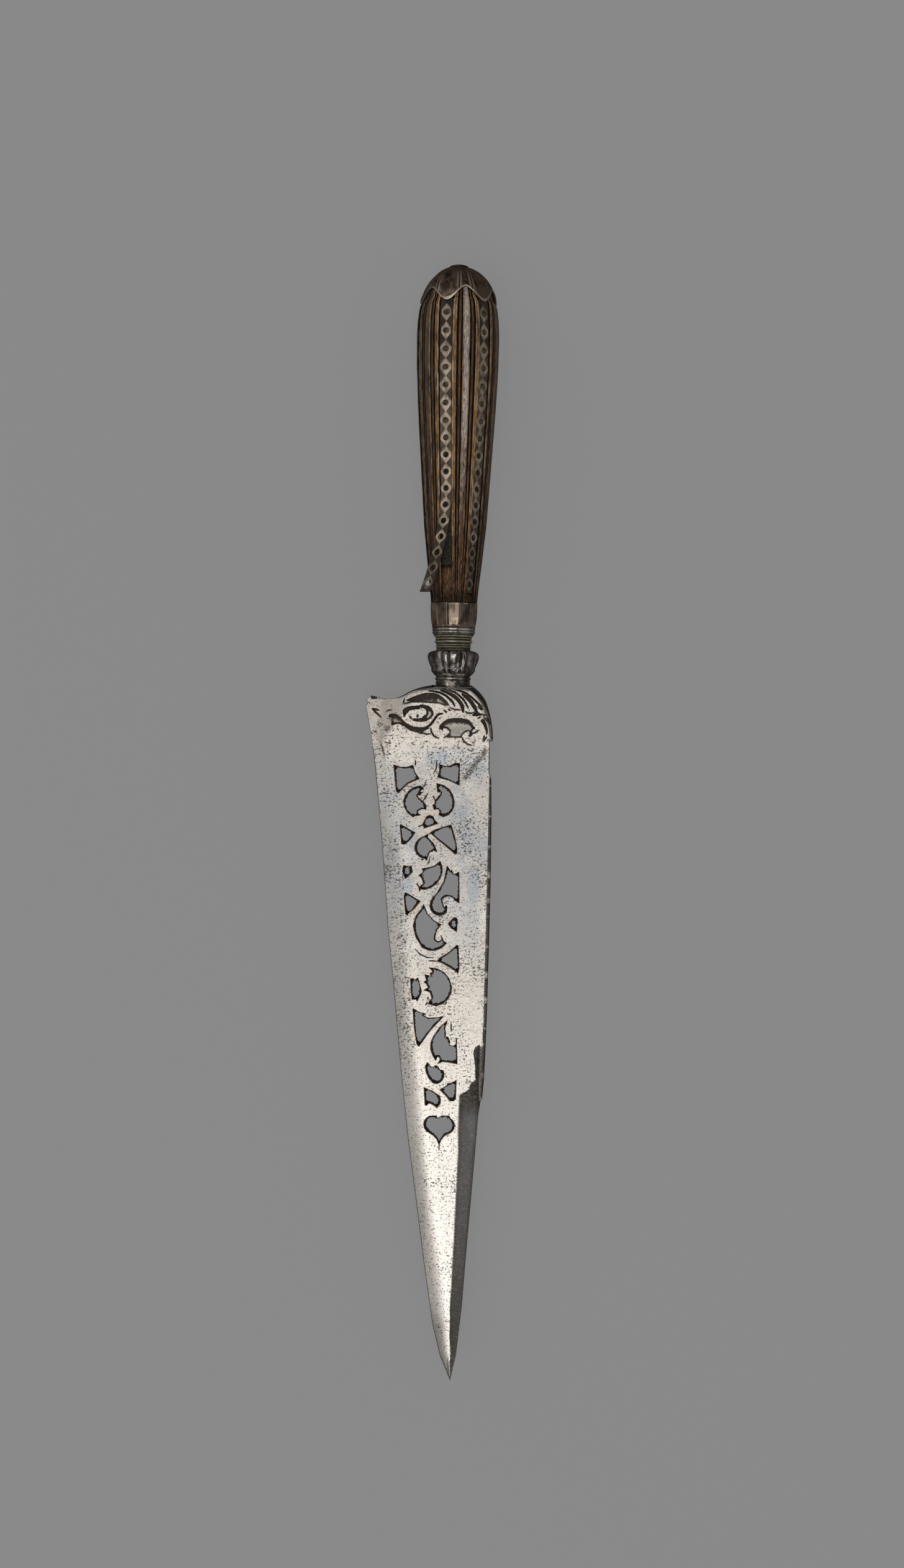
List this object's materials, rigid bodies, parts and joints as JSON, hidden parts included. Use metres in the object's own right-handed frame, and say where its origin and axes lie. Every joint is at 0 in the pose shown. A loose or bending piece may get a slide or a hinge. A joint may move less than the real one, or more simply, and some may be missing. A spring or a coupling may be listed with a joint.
{
  "type": "knife",
  "caption": "Straight-backed dagger knife with a pierced scroll blade, chiselled bolster and fluted wooden grip inlaid with silver strips.",
  "frame": {"origin": "on the long axis, where the bolster meets the turned neck: the blade's root", "axes": "+Y from the blade's root to the pommel, -Y to the tip, +X towards the back, -X towards the cutting edge, +Z out of the front face"},
  "size_m": [0.0403, 0.3506, 0.0258],
  "materials": {
    "steel": "old polish, pitted and rust stained",
    "copper_alloy": "turned, brown with green corrosion",
    "bright_silver": "worn silver",
    "dull_silver": "tarnished silver",
    "wood": "dark, rubbed pale on its ridges",
    "foil": "thin, green with corrosion",
    "resin": "brown resin, hidden"
  },
  "bodies": {
    "root": {"blade": "steel", "neck_collar": "copper_alloy", "seat_ring": "bright_silver", "ferrule": "dull_silver", "grip": "wood", "foil_1": "foil", "foil_2": "foil", "foil_3": "foil", "foil_4": "foil", "foil_5": "foil", "foil_6": "foil", "strip_1": "bright_silver", "strip_2": "bright_silver", "strip_3": "bright_silver", "strip_4": "bright_silver", "strip_5": "bright_silver", "strip_6": "bright_silver", "pommel_cap": "dull_silver", "tang_button": "bright_silver", "tang_filler": "resin"}
  },
  "joints": []
}
